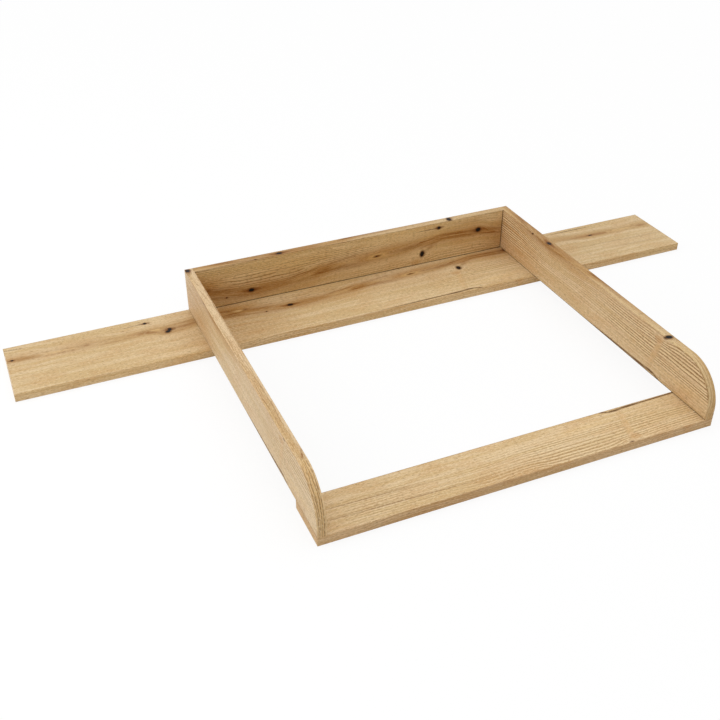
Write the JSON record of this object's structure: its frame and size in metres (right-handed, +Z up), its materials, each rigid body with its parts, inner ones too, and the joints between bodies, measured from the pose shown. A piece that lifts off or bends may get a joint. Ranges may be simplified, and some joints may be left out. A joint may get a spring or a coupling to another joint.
{
  "type": "dresser top changer",
  "caption": "Flat-board frame that turns a dresser top into a changing table: rounded upright sides, a back, a front board and a long rear plank, with an open dresser slot between them.",
  "frame": {"origin": "middle of the footprint, on the plane of the undersides of the front board and the rear plank", "axes": "+X along the rear plank, +Y from the front board to the rear plank and the wall, +Z up"},
  "size_m": [1.596, 0.778, 0.118],
  "materials": {
    "oak_decor_board": "melamine oak decor, matt, on chipboard",
    "oak_decor_edge_band": "oak decor edge band, matt",
    "zinc_plated_screw": "zinc plated",
    "zinc_plated_bolt": "zinc plated",
    "zinc_die_cast_cam": "as cast, dull",
    "beech_dowel": "raw beech"
  },
  "bodies": {
    "root": {"front_board": "oak_decor_board", "rear_plank": "oak_decor_board", "back_panel": "oak_decor_board", "left_side_panel": "oak_decor_board", "right_side_panel": "oak_decor_board", "back_panel_top_band": "oak_decor_edge_band", "front_board_front_band": "oak_decor_edge_band", "front_board_rear_band": "oak_decor_edge_band", "front_board_left_band": "oak_decor_edge_band", "front_board_right_band": "oak_decor_edge_band", "rear_plank_front_band": "oak_decor_edge_band", "rear_plank_rear_band": "oak_decor_edge_band", "rear_plank_left_band": "oak_decor_edge_band", "rear_plank_right_band": "oak_decor_edge_band", "left_side_top_band": "oak_decor_edge_band", "left_side_rear_band": "oak_decor_edge_band", "left_side_lower_band": "oak_decor_edge_band", "right_side_top_band": "oak_decor_edge_band", "right_side_rear_band": "oak_decor_edge_band", "right_side_lower_band": "oak_decor_edge_band", "left_front_screw_1": "zinc_plated_screw", "left_front_screw_2": "zinc_plated_screw", "left_rear_screw_1": "zinc_plated_screw", "left_rear_screw_2": "zinc_plated_screw", "right_front_screw_1": "zinc_plated_screw", "right_front_screw_2": "zinc_plated_screw", "right_rear_screw_1": "zinc_plated_screw", "right_rear_screw_2": "zinc_plated_screw", "back_screw_1": "zinc_plated_screw", "back_screw_2": "zinc_plated_screw", "back_screw_3": "zinc_plated_screw", "left_cam_bolt": "zinc_plated_bolt", "right_cam_bolt": "zinc_plated_bolt", "left_cam_housing": "zinc_die_cast_cam", "right_cam_housing": "zinc_die_cast_cam", "left_front_dowel": "beech_dowel", "left_rear_dowel": "beech_dowel", "right_front_dowel": "beech_dowel", "right_rear_dowel": "beech_dowel", "back_dowel_1": "beech_dowel", "back_dowel_2": "beech_dowel", "left_end_dowel_1": "beech_dowel", "left_end_dowel_2": "beech_dowel", "right_end_dowel_1": "beech_dowel", "right_end_dowel_2": "beech_dowel"}
  },
  "joints": []
}
